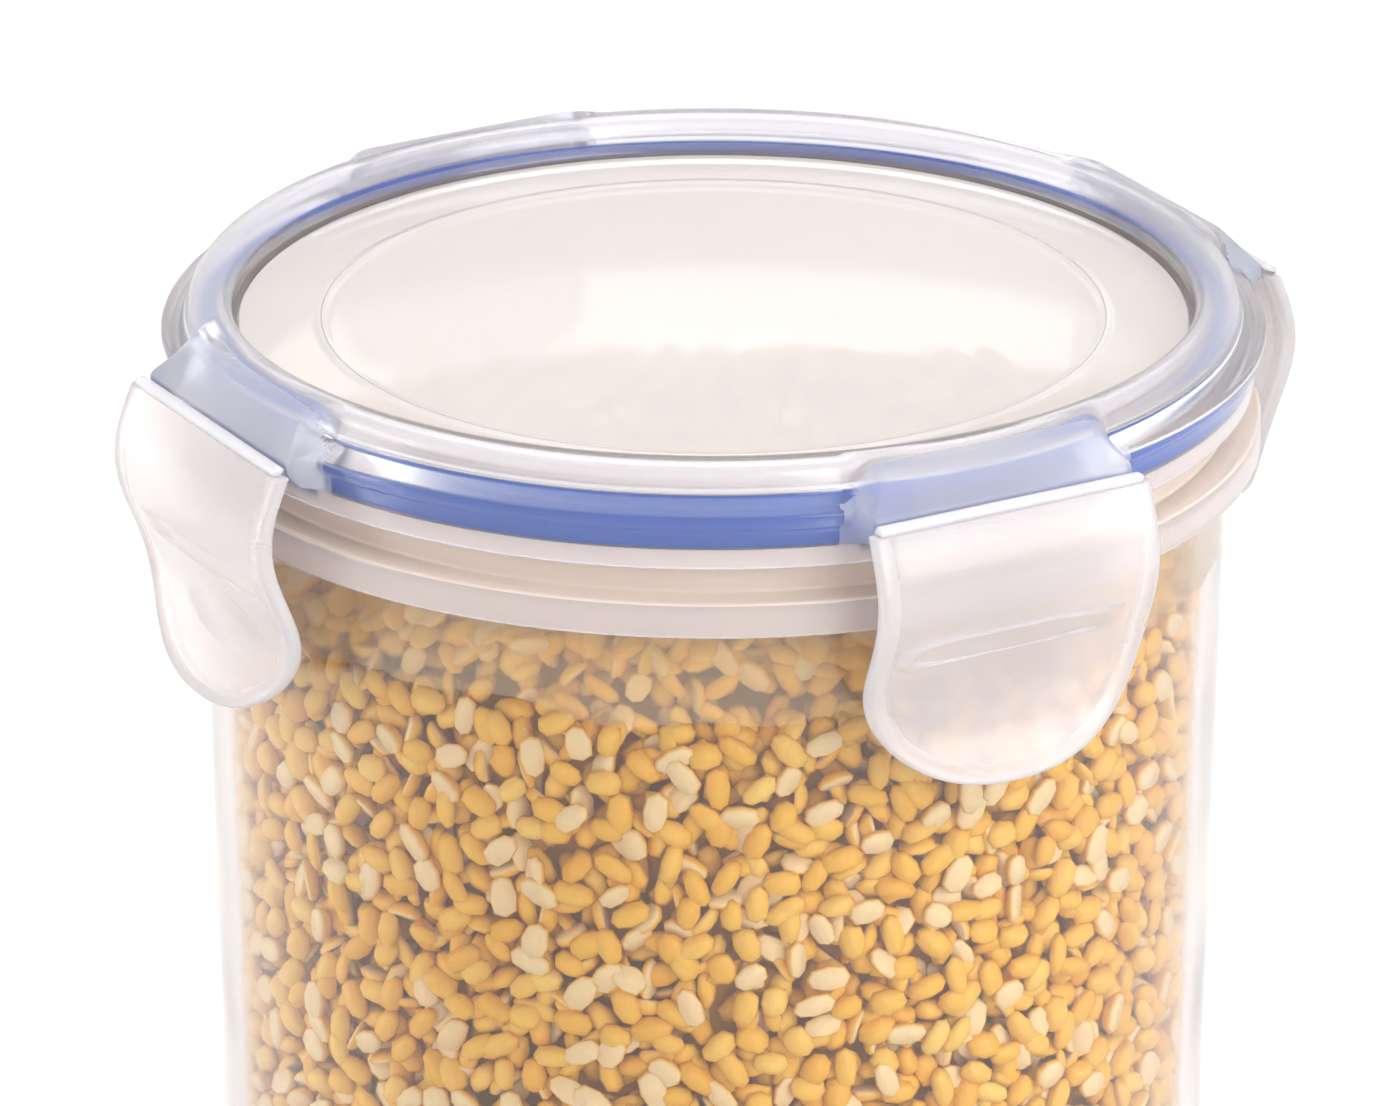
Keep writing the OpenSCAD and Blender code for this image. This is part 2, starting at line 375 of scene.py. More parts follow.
def in_painted_veil(at):
    """True on the inner wall above a ragged line round the heap's edge, where the painted veil goes."""
    angle = np.arctan2(at[:, 1], at[:, 0])
    ragged = 0.8 * np.sin(7 * angle + 1) + 0.5 * np.sin(17 * angle)
    inside = axis_distance(at) < bore_r(at[:, 2]) + 0.2
    return inside & (at[:, 2] > VEIL_LOW + ragged) & (at[:, 2] < COLLAR_TOP)


add_edge_tint(clear_plastic, (0.52, 0.41, 0.35))
print("the bore widens from", bore_r(WALL_LOW).round(2), "to", bore_r(COLLAR_LOW).round(2), "mm")

# %% Build the tub
FOOT_IN = 43.6
FOOT_OUT = 45.6
LIP = 1.4
VEIL_LINES = np.arange(HEAP_EDGE + 6, HEAP_EDGE - 3, -0.75)
tub_outline = rounded([
    (0, FOOT, 0), (FOOT_IN, FOOT, 0.6), (FOOT_IN + 0.4, 0, 0.4), (FOOT_OUT, 0, 0.5), (FOOT_OUT, FOOT, 0.4),
    (WALL_BASE_R - 0.1, FOOT, 3.4), (WALL_BASE_R, WALL_LOW, 0.5),
    (WALL_TOP_R, COLLAR_LOW, 0.5), (WALL_TOP_R, COLLAR_TOP - LIP, 0.4),
    (COLLAR_R - LIP, COLLAR_TOP - LIP, 0.4), (COLLAR_R - LIP, COLLAR_LOW, 0.4),
    (COLLAR_R, COLLAR_LOW, 0.4), (COLLAR_R, COLLAR_TOP, 0.5),
    (WALL_TOP_R, COLLAR_TOP, 0.4), (WALL_TOP_R, RIM, 0.7), (WALL_TOP_R - WALL, RIM, 0.7),
    (WALL_TOP_R - WALL, COLLAR_LOW, 0.5), *[(float(bore_r(z)), z, 0.2) for z in VEIL_LINES],
    (WALL_BASE_R - WALL, FOOT + FLOOR + 4, 0.6),
    (WALL_BASE_R - WALL, FOOT + FLOOR, 3.4), (0, FOOT + FLOOR, 0)], steps=7)
tub = revolve("tub", tub_outline, clear_plastic, segments=288)
# The painted veil of shade and reflection on the inner wall above the fill.
paint_region(tub, painted_veil_plastic, in_painted_veil)
# The neck's peach tint is painted light from the dal seen through it.
paint_region(tub, neck_painted_light_plastic, lambda at: at[:, 2] > COLLAR_TOP - 0.2)
paint_region(tub, collar_plastic,
             lambda at: (axis_distance(at) > WALL_TOP_R + 0.2) & (at[:, 2] < COLLAR_TOP - 0.2))
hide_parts("canister_body")
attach(tub, "canister")

# %% [markdown]
# ## The seal
# A square ring of silicone. Only its outside shows through the lid, so it is a closed ring with rounded
# corners and a shallow groove round the outside. It stands a little below the top of its channel, so that
# a clear white band shows above the blue one.

# %% Build the seal
SEAL_SAG = 1.7
SEAL_W = 2.7
GROOVE = 0.25
seal_low, seal_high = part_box("seal_ring")[0][2] / MM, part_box("seal_ring")[1][2] / MM - SEAL_SAG
seal_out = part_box("seal_ring")[1][0] / MM
seal_in = seal_out - SEAL_W
seal_mid = (seal_low + seal_high) / 2
seal_outline = rounded([
    (seal_in, seal_low, 0.5), (seal_out, seal_low, 0.5), (seal_out, seal_mid - 0.5, 0.2),
    (seal_out - GROOVE, seal_mid, 0.2), (seal_out, seal_mid + 0.5, 0.2), (seal_out, seal_high, 0.6),
    (seal_in, seal_high, 0.6), (seal_in, seal_mid, 0.2), (seal_in, seal_low, 0.5)], steps=5)
seal = revolve("seal", seal_outline, seal_silicone, segments=192)
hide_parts("seal_ring")
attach(seal, "lid")

# %% [markdown]
# ## The lid
# The lid is a solid of revolution except at four flat lands that carry the latches. So its outline is a
# function of the angle: round the ring it is the dome, the sloping ledge and the skirt, and on a land the
# outer part runs flat to a straight edge and slopes down to the hinge. The two outlines have the same
# number of points, and a share that steps from 0 to 1 at the sides of a land mixes them. The ring is a thin
# hollow arch above the seal, so that light and the seal's blue come through. Panel, ledge and skirt differ
# in thickness and so in how milky they look: each gets its own material on the same moulding. The lands get
# a darker blue-grey, painted shade for their sloping faces.

# %% The two outlines of the lid
RING_IN = 49.1
RING_CREST = 51.4
RING_H = 3.0
RING_WALL = 0.95
LEDGE_R = float(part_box("lid")[1][0]) / MM - 0.75
PANEL = CREST - 4.2
PANEL_T = 1.5
SKIRT_LOW = CREST - 10.5
CHANNEL_R = 53.5
CLEAR_R = 53.2
PLUG_R = WALL_TOP_R - WALL - 0.4
PLUG_LOW = CREST - 15


def arch(start, end, count, wall=0.0):
    """Part of the ring's half ellipse, or of one a wall inside it: r = crest - w cos a, z = low + h sin a."""
    turn = np.linspace(start, end, count)
    return np.stack([RING_CREST - (RING_CREST - RING_IN - wall) * np.cos(turn),
                     CREST - RING_H + (RING_H - wall) * np.sin(turn)], axis=-1)


inner_part = np.concatenate([
    rounded([(0, PANEL, 0), (39.2, PANEL, 0.3), (39.8, PANEL + 0.2, 0.3), (40.3, PANEL + 0.2, 0.3),
             (40.9, PANEL, 0.3), (RING_IN, PANEL, 0.7), (RING_IN, CREST - 3.2, 0)], steps=6),
    arch(0, np.pi / 2, 14)])
round_outer = resample(np.concatenate([
    arch(np.pi / 2, 0.93 * np.pi, 14),
    rounded([(RING_CREST + 2.6, CREST - 3.3, 0.3), (56.4, CREST - 4.5, 0.35), (56.4, CREST - 5.3, 0.3),
             (55.5, CREST - 6.4, 0.5)], steps=5)]), 48)
land_outer = resample(np.concatenate([
    arch(np.pi / 2, 0.52 * np.pi, 3),
    rounded([(52.6, CREST - 0.35, 0.5), (53.7, CREST - 0.8, 0.35), (57.1, CREST - 4.85, 0.3),
             (57.1, CREST - 5.8, 0.25), (55.5, CREST - 7.6, 0.5)], steps=6)]), 48)
under_part = np.concatenate([
    rounded([(55.4, CREST - 8.2, 0), (55.2, SKIRT_LOW, 0.45), (CHANNEL_R, SKIRT_LOW, 0.45),
             (CHANNEL_R, CREST - 3.15, 0.2), (52.9, CREST - 2.9, 0)], steps=6),
    arch(np.pi * 0.95, 0, 12, wall=RING_WALL),
    rounded([(PLUG_R, CREST - 3.3, 0), (PLUG_R, PLUG_LOW, 0.4), (RING_IN, PLUG_LOW, 0.4),
             (RING_IN, PANEL - PANEL_T, 0.5), (0, PANEL - PANEL_T, 0)], steps=6)])
print("outline points:", len(inner_part), len(round_outer), len(under_part))

# %% Carry the outlines round the lid
LAND_D = 55.5


def lid_angles():
    """Angles of the lid's columns: an even turn, with extra columns where the lands' sides stand."""
    side = math.degrees(math.atan2(LATCH_W / 2, LAND_D))
    sides = np.arange(side - 6.4, side + 2.8, 0.25)
    extra = [turn + sign * sides for turn in LATCH_TURNS.values() for sign in (-1, 1)]
    return np.radians(np.unique(np.round(np.concatenate([np.arange(0, 360, 1.5), *extra]) % 360, 3)))


def off_latch(angle):
    """Angle from the middle of the nearest of the four latches."""
    return (angle + np.pi / 4) % (np.pi / 2) - np.pi / 4


def land_share(distance, height, angle):
    """0 on the ring and 1 on a land, by a smooth step at half a latch's width, wider near the crest."""
    off = off_latch(angle)
    width = np.interp(height, [CREST - 4.5, CREST], [1.8, 6.0])
    step = np.clip((LATCH_W / 2 + 0.35 - distance * np.abs(np.tan(off))) / width, 0, 1)
    return smooth(step), np.cos(off)


def on_land(at):
    """True on the outer faces of the four lands, above the skirt."""
    off = off_latch(np.arctan2(at[:, 1], at[:, 0]))
    distance = axis_distance(at)
    across = np.abs(distance * np.sin(off)) < LATCH_W / 2 + 0.4
    return across & (distance * np.cos(off) > 52.9) & (at[:, 2] > CREST - 8)


angles = lid_angles()[:, None]
share, cosine = land_share(land_outer[None, :, 0], land_outer[None, :, 1], angles)
mixed_r = (1 - share) * round_outer[None, :, 0] + share * land_outer[None, :, 0] / cosine
mixed_z = (1 - share) * round_outer[None, :, 1] + share * land_outer[None, :, 1]
ones = np.ones_like(angles)
lid_r = np.concatenate([ones * inner_part[None, :, 0], mixed_r, ones * under_part[None, :, 0]], axis=1)
lid_z = np.concatenate([ones * inner_part[None, :, 1], mixed_z, ones * under_part[None, :, 1]], axis=1)
lid_points = np.stack([lid_r * np.cos(angles), lid_r * np.sin(angles), lid_z], axis=-1)
lid = make_piece("lid_moulding", lid_points, grid_faces(*lid_points.shape[:2], wrap_rows=True), ring_plastic)
paint_region(lid, panel_plastic, lambda at: axis_distance(at) < RING_IN - 0.6)
paint_region(lid, ledge_plastic, lambda at: (axis_distance(at) > CLEAR_R) & (at[:, 2] < CREST - RING_H))
paint_region(lid, ledge_plastic,
             lambda at: (abs(axis_distance(at) - RING_IN) < 1.2) & (at[:, 2] < CREST - RING_H + 0.6))
paint_region(lid, skirt_plastic, lambda at: at[:, 2] < seal_low + 0.2)
# The lands' darker blue-grey is painted shade.
paint_region(lid, land_painted_shade_plastic, on_land)
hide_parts("lid")
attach(lid, "lid")

# %% [markdown]
# ## The latches
# A latch is a D-shaped flap whose face is a wave: it bulges over the collar, dips to a waist and flares to
# a finger lip. A thick border runs round its sides and bottom. The flap is made as loops round its own
# cross-section: the border's profile is carried along the D-shaped edge, and straight rows join the two
# sides, so each row is one closed loop and the last row zips shut at the tip.

# %% The latch's formulas
LATCH_TOP = HINGE_H - 0.6
LATCH_LOW = HINGE_H - 28.8
LATCH_BEND = 13.0
BORDER = 2.0
TIP_SHARE = 0.65
RECESS = 0.22
LATCH_T = 1.5
RIB_R = COLLAR_R + 0.3
RIB_H = 4.0
FACE_D = 59.2
FACE_SWING = 1.7
FACE_TOP = CREST - 13.1
FACE_WAVE = 25.8


def face_distance(z):
    """Distance of a latch's face from the canister's axis: a cosine wave in height about a mean."""
    return FACE_D + FACE_SWING * np.cos(2 * np.pi * (z - FACE_TOP) / FACE_WAVE)


def edge_path(rows):
    """Half of the D-shaped edge from the top corner to the tip, as (x, z) points with outward directions."""
    straight = LATCH_TOP - LATCH_LOW - LATCH_BEND
    upper = np.linspace(0, 1, rows // 2, endpoint=False)
    x = np.full(upper.shape, LATCH_W / 2)
    z = LATCH_TOP - straight * upper
    turn = np.linspace(0, np.pi / 2, rows - rows // 2)
    bend_x = LATCH_W / 2 * np.cos(turn) ** 0.92
    bend_z = LATCH_LOW + LATCH_BEND - LATCH_BEND * np.sin(turn) ** 0.92
    path = np.stack([np.concatenate([x, bend_x]), np.concatenate([z, bend_z])], axis=-1)
    along = np.gradient(path, axis=0)
    outward = np.stack([-along[:, 1], along[:, 0]], axis=-1)
    outward /= np.linalg.norm(outward, axis=1, keepdims=True)
    outward[0], outward[-1] = (1, 0), (0, -1)
    return path, outward


def border_profile():
    """Inset from the edge and depth from the face, from the recess over the rounded border to the back."""
    turn = np.linspace(np.pi / 2, -np.pi / 2, 9)
    half = (LATCH_T + RECESS) / 2
    nose = np.stack([half * 0.8 * (1 - np.cos(turn)), half * (1 - np.sin(turn))], axis=-1)
    inset = np.array([BORDER + 0.8, BORDER + 0.3, BORDER, BORDER - 0.4, 1.0])
    front = np.stack([inset, RECESS * np.array([1, 0.96, 0.6, 0.1, 0])], axis=-1)
    back = np.stack([inset[::-1], np.full(5, LATCH_T + RECESS)], axis=-1)
    return np.concatenate([front, nose, back])


def inside_border(at):
    """True where a latch on the +X side is thinner, inside its border."""
    bend = np.clip((LATCH_LOW + LATCH_BEND - at[:, 2]) / (LATCH_BEND - BORDER * TIP_SHARE), 0, 1)
    return np.abs(at[:, 1]) < (LATCH_W / 2 - BORDER) * np.sqrt(1 - bend ** 2)


print("a latch's face is", FACE_D, "mm from the axis, give or take", FACE_SWING)

# %% Build one latch and turn it to its place
def latch_points(rows=120, columns=26):
    """The latch on the +X side, as loops of (distance, x across, z) points."""
    path, outward = edge_path(rows)
    profile = border_profile()
    narrow = 1 - (1 - TIP_SHARE) * np.abs(outward[:, 1])[:, None]
    inset, depth = profile[:, 0][None, :] * narrow, profile[:, 1][None, :]
    x = np.maximum(path[:, 0][:, None] - outward[:, 0][:, None] * inset, 0)
    z = path[:, 1][:, None] - outward[:, 1][:, None] * inset
    across = np.linspace(1, -1, columns)[None, 1:-1]
    back_x, back_z = x[:, -1:] * across, z[:, -1:] + 0 * across
    front_x, front_z = -x[:, :1] * across, z[:, :1] + 0 * across
    loop_x = np.concatenate([x, back_x, -x[:, ::-1], front_x], axis=1)
    loop_z = np.concatenate([z, back_z, z[:, ::-1], front_z], axis=1)
    deep = np.concatenate([depth + 0 * x, back_x * 0 + depth[0, -1], (depth + 0 * x)[:, ::-1],
                           front_x * 0 + depth[0, 0]], axis=1)
    reach = face_distance(loop_z) - deep
    inner = deep > LATCH_T
    rib = np.clip((loop_z - (COLLAR_LOW - 3.4)) / 1.4, 0, 1)
    rib = rib * np.clip((COLLAR_LOW - 0.35 - loop_z) / 0.8, 0, 1)
    rib = smooth(rib) * np.clip((LATCH_W / 2 - 3.5 - np.abs(loop_x)) / 5, 0, 1)
    reach = np.where(inner, reach - RIB_H * rib, reach)
    clear = np.sqrt(RIB_R ** 2 - np.minimum(np.abs(loop_x), 20) ** 2)
    reach = np.where(inner, np.maximum(reach, clear), np.maximum(reach, clear + 0.5))
    points = np.stack([reach, loop_x, loop_z], axis=-1)
    top = points[:1].copy()
    middle = face_distance(top[..., 2]) - (LATCH_T + RECESS) / 2
    caps = []
    for closing, lift in ((0.0, 0.25), (0.6, 0.2), (0.9, 0.1)):
        cap = top.copy()
        cap[..., 0] = middle + (top[..., 0] - middle) * closing
        cap[..., 2] += lift
        caps.append(cap)
    return np.concatenate(caps + [points])


def turned(points, degrees):
    """Points turned about the upright axis."""
    turn = math.radians(degrees)
    x = points[..., 0] * math.cos(turn) - points[..., 1] * math.sin(turn)
    y = points[..., 0] * math.sin(turn) + points[..., 1] * math.cos(turn)
    return np.stack([x, y, points[..., 2]], axis=-1)


one_latch = latch_points()
latch_faces = grid_faces(*one_latch.shape[:2], wrap_columns=True)
for side, degrees in LATCH_TURNS.items():
    flap = make_piece("flap_" + side, turned(one_latch, degrees), latch_faces, border_plastic)
    paint_region(flap, latch_plastic, lambda at: inside_border(turned(at, -degrees)))
    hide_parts("latch_" + side)
    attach(flap, side + "_latch")

# %% [markdown]
# ## The living hinges
# Between land and latch the moulding thins to a film that folds. It whitens where it has been flexed. The
# film is a thin closed strip that arches over the hinge line. It rides on no body: it stays where it is
# built.


def film_arc(turn, wide, high):
    """Points on an ellipse about the hinge line: d = hinge + wide cos a, z = hinge + high sin a."""
    return np.stack([HINGE_D + 0.1 + wide * np.cos(turn), HINGE_H - 0.1 + high * np.sin(turn)], axis=-1)


def film_points(columns=41, steps=13):
    """A strip 0.3 mm thick between two arcs, closed round its section and shut at both ends."""
    turn = np.radians(np.linspace(150, -72, steps))
    outer = film_arc(turn, 0.75, 0.62)
    inner = film_arc(turn, 0.42, 0.32)
    section = np.concatenate([outer, inner[::-1]])
    across = np.linspace(-1, 1, columns)
    ends = np.concatenate([[0.0], np.ones(columns - 2), [0.0]])[:, None]
    centre = section.mean(axis=0)
    flat = centre + (section[None] - centre) * ends[..., None]
    wide = np.broadcast_to(across[:, None] * (LATCH_W / 2 - 0.4), flat.shape[:2])
    return np.stack([flat[..., 0], wide, flat[..., 1]], axis=-1)


one_film = film_points()
film_faces = grid_faces(*one_film.shape[:2], wrap_columns=True)
for side, degrees in LATCH_TURNS.items():
    film = make_piece("film_" + side, turned(one_film, degrees), film_faces, hinge_plastic)
    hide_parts("living_hinge_" + side)
    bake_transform(film)

# %% [markdown]
# ## The dal
# Split and skinned mung is half a bean: one domed side, one flat side, about 4.5 mm long. Thousands of them
# are needed, so one grain has a few dozen faces and all copies are turned and placed as arrays. Three layers
# stand against the wall, two more fill its top where the heap is higher at the front, two cover the heap and
# one the floor. A plain core behind them fills the gaps.

# %% The dal's colours
def dal_material():
    """Colour by each grain's own tint, paler on the flat side, with fine mottling and a soft waxy surface."""
    material = bpy.data.materials.new("split_dal")
    material.use_nodes = True
    tree = material.node_tree
    shader = tree.nodes["Principled BSDF"]
    tint = add_node(tree, "Attribute", attribute_name="tint")
    flat = add_node(tree, "Attribute", attribute_name="flat_side")
    ramp = add_node(tree, "ValToRGB", [("Fac", tint.outputs["Fac"])])
    ramp.color_ramp.elements[0].color = (0.90, 0.44, 0.015, 1)
    ramp.color_ramp.elements[1].color = (1.0, 0.66, 0.13, 1)
    golden = ramp.color_ramp.elements.new(0.45)
    golden.color = (0.97, 0.54, 0.035, 1)
    place = add_node(tree, "TexCoord").outputs["Object"]
    mottle = add_node(tree, "TexNoise", [("Vector", place)], Scale=900.0, Detail=3.0)
    pale = add_node(tree, "Mix", [("Factor", flat.outputs["Fac"]), ("A", ramp.outputs["Color"])],
                    data_type="RGBA")
    pale.inputs["B"].default_value = (1.0, 0.79, 0.47, 1)
    spotted = add_node(tree, "Mix", data_type="RGBA", blend_type="MULTIPLY")
    tree.links.new(pale.outputs["Result"], spotted.inputs["A"])
    tree.links.new(mottle.outputs["Color"], spotted.inputs["B"])
    spotted.inputs["Factor"].default_value = 0.12
    tree.links.new(spotted.outputs["Result"], shader.inputs["Base Color"])
    skin = group_node(tree, MOULDED, Roughness=0.42, Wander=0.3, Grain=0.25, Scale=1.6)
    tree.links.new(skin.outputs["Roughness"], shader.inputs["Roughness"])
    tree.links.new(skin.outputs["Normal"], shader.inputs["Normal"])
    shader.inputs["Subsurface Weight"].default_value = 0.15
    shader.inputs["Subsurface Radius"].default_value = (1.0, 0.8, 0.5)
    shader.inputs["Subsurface Scale"].default_value = 0.0008
    return material


split_dal = dal_material()
dal_core = moulded_material(
    "dal_core", (0.85, 0.38, 0.01), (0.95, 0.50, 0.02),
    {"Roughness": 0.6, "Wander": 0.2, "Grain": 0.3}, {"Scale": 500.0, "Contrast": 3.0}, IOR=1.4)
print("dal materials:", split_dal.name, "and", dal_core.name)

# %% One grain, and many copies of it
HALF_LENGTH = (1.75, 2.4)
HALF_WIDTH = (1.15, 1.5)
HALF_HEIGHT = (0.95, 1.45)
GRAIN_GAP = (0.1, 0.4)


def grain_shape(segments):
    """Half an ellipsoid of unit half sizes: rings from the domed pole to the rim, then a slightly hollow
    flat side."""
    fall = np.radians([30, 60, 84, 100])
    turn = np.linspace(0, 2 * np.pi, segments, endpoint=False)
    ring_r = np.sin(fall)[:, None] * np.array([1, 1, 1, 0.86])[:, None]
    round_x = np.sign(np.cos(turn)) * np.abs(np.cos(turn)) ** 0.82
    round_y = np.sign(np.sin(turn)) * np.abs(np.sin(turn)) ** 0.82
    rings = np.stack([ring_r * round_x, ring_r * round_y, np.cos(fall)[:, None] + 0 * turn], axis=-1)
    points = np.concatenate([[[0, 0, 1]], rings.reshape(-1, 3), [[0, 0, -0.12]]])
    ahead = (np.arange(segments) + 1) % segments
    here = np.arange(segments)
    last = 1 + 3 * segments
    top = np.stack([0 * here, 1 + here, 1 + ahead], axis=-1)
    sides = [np.stack([k + here, k + segments + here, k + segments + ahead, k + ahead], axis=-1)
             for k in (1, 1 + segments, 1 + 2 * segments)]
    bottom = np.stack([last + here, 0 * here + last + segments, last + ahead], axis=-1)
    loops = np.concatenate([top.ravel(), *[side.ravel() for side in sides], bottom.ravel()])
    sizes = np.concatenate([np.full(segments, 3), np.full(3 * segments, 4), np.full(segments, 3)])
    flat = np.zeros(len(points))
    flat[last:] = 1
    return points, loops, sizes, flat


def grain_turns(normals, spin, tilt):
    """Rotations that lay grains on a surface: dome along the normal, spun about it, then tilted about their
    length."""
    helper = np.where(np.abs(normals[:, 2:]) < 0.9, [[0.0, 0.0, 1.0]], [[1.0, 0.0, 0.0]])
    first = np.cross(helper, normals)
    first /= np.linalg.norm(first, axis=1, keepdims=True)
    second = np.cross(normals, first)
    c, s = np.cos(spin)[:, None], np.sin(spin)[:, None]
    length, width = first * c + second * s, second * c - first * s
    ct, st = np.cos(tilt)[:, None], np.sin(tilt)[:, None]
    return np.stack([length, width * ct + normals * st, normals * ct - width * st], axis=-1)


def place_grains(name, centres, normals, rng, segments, tilt, flat_share, pale, press=False):
    """Copies one grain to every centre with its own size, turn and tint. None comes nearer the wall than its
    gap, and pressed ones stand exactly at it."""
    count = len(centres)
    points, loops, sizes, flat = grain_shape(segments)
    half = np.stack([rng.uniform(*HALF_LENGTH, count), rng.uniform(*HALF_WIDTH, count),
                     rng.uniform(*HALF_HEIGHT, count)], axis=-1)
    lean = rng.normal(0, tilt, count) + np.pi * (rng.random(count) < flat_share)
    turns = grain_turns(normals, rng.uniform(0, 2 * np.pi, count), lean)
    shape = points[None] * half[:, None] - np.array([0, 0, 0.4]) * half[:, None]
    shape[..., 1] *= 1 + 0.1 * points[None, :, 0]
    grains = np.einsum("nij,nkj->nki", turns, shape) + centres[:, None]
    reach = np.hypot(grains[..., 0], grains[..., 1])
    over = (reach - bore_r(grains[..., 2]) + rng.uniform(*GRAIN_GAP, count)[:, None]).max(axis=1)
    push = over if press else np.maximum(over, 0)
    outward = centres[:, :2] / np.maximum(axis_distance(centres)[:, None], 1e-6)
    grains[..., :2] -= (outward * push[:, None])[:, None]
    tint = np.clip(rng.normal(pale, 0.18, count), 0, 1)
    return write_grains(name, grains, loops, sizes, flat, tint)


def write_grains(name, grains, loops, sizes, flat, tint):
    """Writes every copy into one mesh, with each grain's tint and its flat side as point attributes."""
    count, per = grains.shape[:2]
    mesh = bpy.data.meshes.new(name)
    mesh.vertices.add(count * per)
    mesh.vertices.foreach_set("co", (grains * MM).ravel())
    all_loops = (loops[None] + per * np.arange(count)[:, None]).ravel()
    mesh.loops.add(len(all_loops))
    mesh.loops.foreach_set("vertex_index", all_loops)
    starts = np.concatenate([[0], np.cumsum(sizes)[:-1]])
    mesh.polygons.add(count * len(sizes))
    mesh.polygons.foreach_set("loop_start", (starts[None] + len(loops) * np.arange(count)[:, None]).ravel())
    mesh.update(calc_edges=True)
    for label, values in (("tint", np.repeat(tint, per)), ("flat_side", np.tile(flat * 0.8, count))):
        mesh.attributes.new(label, "FLOAT", "POINT").data.foreach_set("value", values)
    mesh.shade_smooth()
    mesh.validate()
    mesh.materials.append(split_dal)
    piece = bpy.data.objects.new(name, mesh)
    bpy.context.collection.objects.link(piece)
    print(name, "holds", count, "grains")
    return piece

# %% Places on the wall, the heap and the floor
HEAP_PEAK = 172.6
HEAP_R = float(bore_r(HEAP_EDGE))
HEAP_AXIS = np.array([9.0, -9.8])
RIDGE = np.array([math.cos(math.radians(30)), -math.sin(math.radians(30))])
BEHIND = np.array([-RIDGE[1], RIDGE[0]])
RIDGE_HALF = 11
RIDGE_FLAT = 4
HEAP_TOP = 162.5
SLOPE = math.radians(20)
DAL_LOW = FOOT + FLOOR + 0.3


def wall_places(rng, depth, low, high, spacing):
    """A jittered brick pattern unrolled from the wall: rows up the height, every other row half a step on."""
    rows = int((high - low) / (spacing * 0.86))
    columns = int(2 * np.pi * HEAP_R / spacing)
    row, column = np.divmod(np.arange(rows * columns), columns)
    angle = 2 * np.pi * (column + 0.5 * (row % 2) + rng.uniform(-0.38, 0.38, len(row))) / columns
    z = low + (high - low) * (row + 0.5 + rng.uniform(-0.4, 0.4, len(row))) / rows
    r = bore_r(z) - depth
    normals = np.stack([np.cos(angle), np.sin(angle), 0 * angle], axis=-1)
    return np.concatenate([normals[:, :2] * r[:, None], z[:, None]], axis=1), normals


def disc_places(rng, radius, spacing):
    """Jittered places over a disc by a sunflower spiral: each turns by the golden angle, and its radius grows
    as the root of the count."""
    count = int(np.pi * radius ** 2 / (0.86 * spacing ** 2))
    k = np.arange(count)
    r = radius * np.sqrt((k + 0.5) / count)
    angle = k * np.pi * (3 - np.sqrt(5))
    flat = np.stack([r * np.cos(angle), r * np.sin(angle)], axis=-1)
    flat = flat + rng.normal(0, 0.3 * spacing, (count, 2))
    return flat * np.minimum(1, radius / np.maximum(np.hypot(*flat.T), 1e-6))[:, None]


def heap_height(flat):
    """Height of the heap: a ridge off the centre falls one for every two across, down to a level that is
    higher at the front: h = max(level, peak - max(distance from the ridge - its flat, 0) / 2)."""
    d = flat - HEAP_AXIS
    along, behind = d @ RIDGE, d @ BEHIND
    distance = np.hypot(np.maximum(np.abs(along) - RIDGE_HALF, 0), behind)
    level = (HEAP_EDGE + HEAP_TOP) / 2 - (HEAP_TOP - HEAP_EDGE) / 2 * (flat @ BEHIND) / HEAP_R
    return np.maximum(level, HEAP_PEAK - np.maximum(distance - RIDGE_FLAT, 0) / 2)


front_edge = -HEAP_R * BEHIND[None]
print("the heap is", HEAP_PEAK, "mm at its ridge and", heap_height(front_edge).round(1), "at the front")

# %% Pour the dal
def pour_wall(name, seed, low, high, depth, spacing, segments, tilt, pale, press=False):
    """One band of grains against the wall, or behind the ones that touch it, none of them above the heap."""
    rng = np.random.default_rng(seed)
    centres, normals = wall_places(rng, depth, low, high, spacing)
    under = centres[:, 2] < np.maximum(heap_height(centres[:, :2]), HEAP_EDGE)
    centres, normals = centres[under], normals[under]
    return place_grains(name, centres, normals, rng, segments, tilt, 0.25, pale, press=press)


def pour_disc(name, seed, top, spacing, sink, segments):
    """One layer of grains on the heap, whose domes lean outwards, or on the floor with its domes down."""
    rng = np.random.default_rng(seed)
    flat = disc_places(rng, HEAP_R - 1.6 if top else WALL_BASE_R - WALL - 3, spacing)
    r = axis_distance(flat)
    if top:
        z = heap_height(flat) - sink + rng.normal(0, 0.6, len(r))
        lean, rise = math.sin(SLOPE), math.cos(SLOPE)
    else:
        z = np.full(len(r), DAL_LOW + 1.3 + sink)
        lean, rise = 0.0, -1.0
    normals = np.column_stack([flat / np.maximum(r, 1e-6)[:, None] * lean, np.full(len(r), rise)])
    return place_grains(name, np.column_stack([flat, z]), normals, rng, segments, 0.9, 0.4, 0.7)


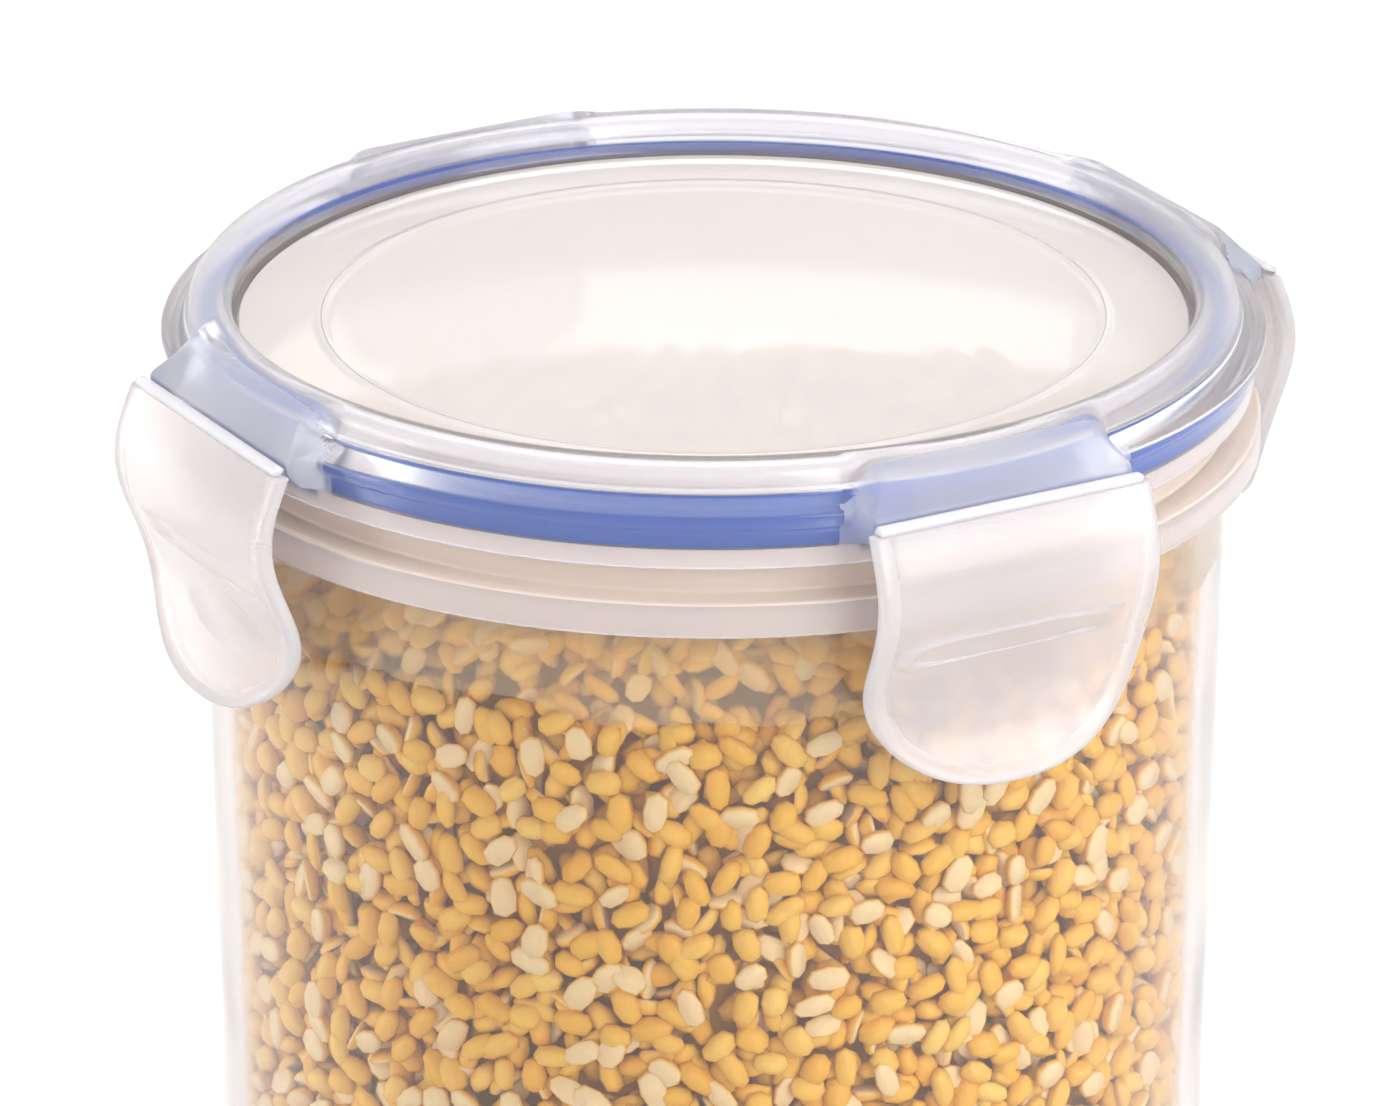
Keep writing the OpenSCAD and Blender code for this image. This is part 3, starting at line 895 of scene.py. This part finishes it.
WALL_SPLIT = 80.0
dal = [
    pour_wall("dal_wall_upper", 11, WALL_SPLIT, HEAP_EDGE, 1.2, 3.95, 8, 0.3, 0.5, press=True),
    pour_wall("dal_wall_lower", 12, DAL_LOW + 2, WALL_SPLIT, 1.2, 3.95, 8, 0.3, 0.5, press=True),
    pour_wall("dal_behind_upper", 13, WALL_SPLIT, HEAP_EDGE, 2.3, 3.2, 8, 0.9, 0.42),
    pour_wall("dal_behind_lower", 14, DAL_LOW + 2, WALL_SPLIT, 2.3, 3.2, 8, 0.9, 0.42),
    pour_wall("dal_deep_upper", 18, WALL_SPLIT, HEAP_EDGE - 1, 3.9, 3.7, 8, 0.9, 0.3),
    pour_wall("dal_deep_lower", 19, DAL_LOW + 2, WALL_SPLIT, 3.9, 3.7, 8, 0.9, 0.3),
    pour_wall("dal_slope", 20, HEAP_EDGE - 1, HEAP_TOP, 3.2, 3.5, 8, 0.8, 0.62),
    pour_wall("dal_slope_deep", 21, HEAP_EDGE - 2, HEAP_TOP - 1, 5.0, 3.5, 8, 0.8, 0.5),
    pour_disc("dal_heap_top", 15, True, 3.3, 0.4, 10),
    pour_disc("dal_heap_under", 16, True, 3.4, 2.0, 10),
    pour_disc("dal_floor", 17, False, 3.4, 0.0, 8)]
CORE_IN = 5.0
core_outline = rounded([
    (0, DAL_LOW + 2, 0), (WALL_BASE_R - WALL - CORE_IN, DAL_LOW + 2, 3),
    (HEAP_R - CORE_IN - 1, HEAP_EDGE - 4, 1), (8, HEAP_PEAK - 11, 6), (0, HEAP_PEAK - 10, 0)], steps=6)
dal.append(revolve("dal_middle", core_outline, dal_core, segments=96))
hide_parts("dal_fill")
for piece in dal:
    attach(piece, "canister")

# %% [markdown]
# ## Stage, light and camera
# The canister stands on a plain pale floor under an even white sky, with three large soft lights: one above,
# a weaker one from the left and the strongest from the front. Such even light leaves clear and milky plastic
# readable. The camera is far away with a long lens, and looks down by about twenty degrees at a point a
# little below the lid.

# %% Floor and lights
FLOOR_REACH = 3000.0


def build_floor():
    """A plain pale floor that reaches three metres every way and isn't part of the object."""
    corners = np.array([[-1, -1, 0], [1, -1, 0], [1, 1, 0], [-1, 1, 0]]) * FLOOR_REACH
    material = bpy.data.materials.new("pale_floor")
    material.use_nodes = True
    shader = material.node_tree.nodes["Principled BSDF"]
    shader.inputs["Base Color"].default_value = (0.76, 0.76, 0.76, 1)
    shader.inputs["Roughness"].default_value = 0.7
    floor = make_piece("floor", corners, np.array([[0, 1, 2, 3]]), material, weld=False)


def add_light(name, place, target, size, power):
    """A square soft light that faces the target."""
    light = bpy.data.lights.new(name, "AREA")
    light.size = size
    light.energy = power
    lamp = bpy.data.objects.new(name, light)
    bpy.context.collection.objects.link(lamp)
    lamp.location = place
    away = np.array(place) - np.array(target)
    tip = math.atan2(math.hypot(away[0], away[1]), away[2])
    lamp.rotation_euler = (tip, 0, math.atan2(away[0], -away[1]))
    print(name, "stands at", place, "with", power, "W")


build_floor()
scene = bpy.context.scene
world = bpy.data.worlds.new("studio")
world.use_nodes = True
world.node_tree.nodes["Background"].inputs["Color"].default_value = (1.0, 0.985, 0.98, 1)
world.node_tree.nodes["Background"].inputs["Strength"].default_value = 0.95
scene.world = world
MIDDLE = (0, 0, 0.12)
add_light("top_softbox", (0.1, 0.2, 1.3), MIDDLE, 1.4, 7)
add_light("left_softbox", (-0.95, 0.5, 0.35), MIDDLE, 0.8, 8)
add_light("front_softbox", (0.25, -1.05, 0.7), MIDDLE, 0.9, 15)
scene.view_settings.view_transform = "Standard"

# %% Camera
AZIMUTH, ELEVATION, DISTANCE = -30.0, 20.3, 1.092
PITCH_BELOW_LID, YAW_OFF_LID = 1.35, 0.126
LID_CENTRE_DOWN = 2.8
turn, rise = math.radians(AZIMUTH), math.radians(ELEVATION)
lid_centre = np.array([0, 0, (CREST - LID_CENTRE_DOWN) * MM])
back = np.array([math.sin(turn) * math.cos(rise), -math.cos(turn) * math.cos(rise), math.sin(rise)])
camera = bpy.data.objects.new("camera", bpy.data.cameras.new("camera"))
bpy.context.collection.objects.link(camera)
camera.data.lens = 278.5
camera.data.sensor_width = 36
camera.data.clip_end = 20
camera.location = lid_centre + DISTANCE * back
pitch = math.radians(90 - ELEVATION - PITCH_BELOW_LID)
camera.rotation_euler = (pitch, 0, math.radians(AZIMUTH + YAW_OFF_LID))
scene.camera = camera
print("camera at", [round(value, 3) for value in camera.location], "m")
